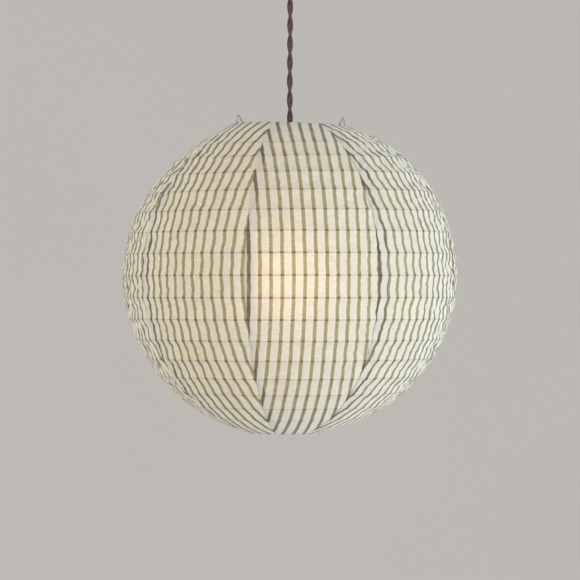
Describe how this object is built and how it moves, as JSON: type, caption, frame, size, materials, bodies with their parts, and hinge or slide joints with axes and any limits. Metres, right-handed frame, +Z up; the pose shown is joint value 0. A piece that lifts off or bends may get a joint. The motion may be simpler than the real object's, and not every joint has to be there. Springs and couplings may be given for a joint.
{
  "type": "lamp shade",
  "caption": "Collapsible round lantern pendant shade of striped cotton gores on wire hoops, hung from a lampholder on a twisted fabric flex.",
  "frame": {"origin": "middle of the ceiling rose base's top face, where it meets the ceiling", "axes": "+Z up along the hanging axis, out of the ceiling face; -Y towards the front of the shade; +X to its right"},
  "size_m": [0.4034, 0.4034, 0.575],
  "materials": {
    "striped_cotton": "plain-woven cream cotton with narrow olive green stripes, matt and translucent",
    "hoop_wire": "thin drawn steel wire, dull grey",
    "carrier_steel": "bright zinc-plated steel",
    "flex_braid": "dark brown braided cotton over two cores, matt",
    "brown_plastic": "dark brown moulded plastic, soft gloss",
    "white_ceramic": "glazed white porcelain",
    "cap_brass": "plain brass",
    "bulb_glass": "opal white glass, lit warm"
  },
  "bodies": {
    "root": {"rose_base": "brown_plastic", "rose_cover": "brown_plastic", "rose_cord_grip": "brown_plastic", "flex": "flex_braid", "holder_cap": "brown_plastic", "lampholder": "brown_plastic", "contact_block": "white_ceramic", "socket_liner": "cap_brass", "centre_contact": "cap_brass", "carrier_ring": "carrier_steel", "carrier_arm_1": "carrier_steel", "carrier_arm_2": "carrier_steel", "carrier_arm_3": "carrier_steel", "top_rim": "hoop_wire", "gore_1": "striped_cotton", "gore_2": "striped_cotton", "gore_3": "striped_cotton", "gore_4": "striped_cotton", "gore_5": "striped_cotton", "gore_6": "striped_cotton", "gore_7": "striped_cotton", "gore_8": "striped_cotton"},
    "bottom_rim": {"bottom_rim": "hoop_wire"},
    "bulb": {"bulb_cap": "cap_brass", "bulb_glass": "bulb_glass"},
    "shade_ring": {"shade_ring": "brown_plastic"},
    "hoop_01": {"hoop_01": "hoop_wire"},
    "hoop_02": {"hoop_02": "hoop_wire"},
    "hoop_03": {"hoop_03": "hoop_wire"},
    "hoop_04": {"hoop_04": "hoop_wire"},
    "hoop_05": {"hoop_05": "hoop_wire"},
    "hoop_06": {"hoop_06": "hoop_wire"},
    "hoop_07": {"hoop_07": "hoop_wire"},
    "hoop_08": {"hoop_08": "hoop_wire"},
    "hoop_09": {"hoop_09": "hoop_wire"},
    "hoop_10": {"hoop_10": "hoop_wire"},
    "hoop_11": {"hoop_11": "hoop_wire"},
    "hoop_12": {"hoop_12": "hoop_wire"},
    "hoop_13": {"hoop_13": "hoop_wire"},
    "hoop_14": {"hoop_14": "hoop_wire"},
    "hoop_15": {"hoop_15": "hoop_wire"},
    "hoop_16": {"hoop_16": "hoop_wire"},
    "hoop_17": {"hoop_17": "hoop_wire"},
    "hoop_18": {"hoop_18": "hoop_wire"}
  },
  "joints": [
    {"name": "collapse", "type": "slide", "parent": "root", "child": "bottom_rim", "axis": [0, 0, 1], "range_m": [0, 0.3069], "deforming": ["gore_1", "gore_2", "gore_3", "gore_4", "gore_5", "gore_6", "gore_7", "gore_8"]},
    {"name": "hoop_01_rise", "type": "slide", "parent": "root", "child": "hoop_01", "axis": [0, 0, 1], "range_m": [0, 0.0095]},
    {"name": "hoop_02_rise", "type": "slide", "parent": "root", "child": "hoop_02", "axis": [0, 0, 1], "range_m": [0, 0.0211]},
    {"name": "hoop_03_rise", "type": "slide", "parent": "root", "child": "hoop_03", "axis": [0, 0, 1], "range_m": [0, 0.035]},
    {"name": "hoop_04_rise", "type": "slide", "parent": "root", "child": "hoop_04", "axis": [0, 0, 1], "range_m": [0, 0.0509]},
    {"name": "hoop_05_rise", "type": "slide", "parent": "root", "child": "hoop_05", "axis": [0, 0, 1], "range_m": [0, 0.0687]},
    {"name": "hoop_06_rise", "type": "slide", "parent": "root", "child": "hoop_06", "axis": [0, 0, 1], "range_m": [0, 0.0879]},
    {"name": "hoop_07_rise", "type": "slide", "parent": "root", "child": "hoop_07", "axis": [0, 0, 1], "range_m": [0, 0.1082]},
    {"name": "hoop_08_rise", "type": "slide", "parent": "root", "child": "hoop_08", "axis": [0, 0, 1], "range_m": [0, 0.1293]},
    {"name": "hoop_09_rise", "type": "slide", "parent": "root", "child": "hoop_09", "axis": [0, 0, 1], "range_m": [0, 0.1508]},
    {"name": "hoop_10_rise", "type": "slide", "parent": "root", "child": "hoop_10", "axis": [0, 0, 1], "range_m": [0, 0.1722]},
    {"name": "hoop_11_rise", "type": "slide", "parent": "root", "child": "hoop_11", "axis": [0, 0, 1], "range_m": [0, 0.1933]},
    {"name": "hoop_12_rise", "type": "slide", "parent": "root", "child": "hoop_12", "axis": [0, 0, 1], "range_m": [0, 0.2137]},
    {"name": "hoop_13_rise", "type": "slide", "parent": "root", "child": "hoop_13", "axis": [0, 0, 1], "range_m": [0, 0.2329]},
    {"name": "hoop_14_rise", "type": "slide", "parent": "root", "child": "hoop_14", "axis": [0, 0, 1], "range_m": [0, 0.2506]},
    {"name": "hoop_15_rise", "type": "slide", "parent": "root", "child": "hoop_15", "axis": [0, 0, 1], "range_m": [0, 0.2666]},
    {"name": "hoop_16_rise", "type": "slide", "parent": "root", "child": "hoop_16", "axis": [0, 0, 1], "range_m": [0, 0.2804]},
    {"name": "hoop_17_rise", "type": "slide", "parent": "root", "child": "hoop_17", "axis": [0, 0, 1], "range_m": [0, 0.292]},
    {"name": "hoop_18_rise", "type": "slide", "parent": "root", "child": "hoop_18", "axis": [0, 0, 1], "range_m": [0, 0.301]},
    {"name": "bulb_unscrew", "type": "hinge", "parent": "root", "child": "bulb", "pos_m": [0, 0, -0.326], "axis": [0, 0, -1], "range_deg": [0, 1080]},
    {"name": "shade_ring_unscrew", "type": "hinge", "parent": "root", "child": "shade_ring", "pos_m": [0, 0, -0.3], "axis": [0, 0, -1], "range_deg": [0, 720]}
  ],
  "couplings": [
    {"joint": "hoop_01_rise", "follows": "collapse", "ratio": 0.02945},
    {"joint": "hoop_02_rise", "follows": "collapse", "ratio": 0.067129},
    {"joint": "hoop_03_rise", "follows": "collapse", "ratio": 0.11236},
    {"joint": "hoop_04_rise", "follows": "collapse", "ratio": 0.16434},
    {"joint": "hoop_05_rise", "follows": "collapse", "ratio": 0.22214},
    {"joint": "hoop_06_rise", "follows": "collapse", "ratio": 0.28471},
    {"joint": "hoop_07_rise", "follows": "collapse", "ratio": 0.35096},
    {"joint": "hoop_08_rise", "follows": "collapse", "ratio": 0.41968},
    {"joint": "hoop_09_rise", "follows": "collapse", "ratio": 0.48965},
    {"joint": "hoop_10_rise", "follows": "collapse", "ratio": 0.55963},
    {"joint": "hoop_11_rise", "follows": "collapse", "ratio": 0.62835},
    {"joint": "hoop_12_rise", "follows": "collapse", "ratio": 0.69459},
    {"joint": "hoop_13_rise", "follows": "collapse", "ratio": 0.75717},
    {"joint": "hoop_14_rise", "follows": "collapse", "ratio": 0.81496},
    {"joint": "hoop_15_rise", "follows": "collapse", "ratio": 0.86694},
    {"joint": "hoop_16_rise", "follows": "collapse", "ratio": 0.91218},
    {"joint": "hoop_17_rise", "follows": "collapse", "ratio": 0.94985},
    {"joint": "hoop_18_rise", "follows": "collapse", "ratio": 0.9793}
  ]
}
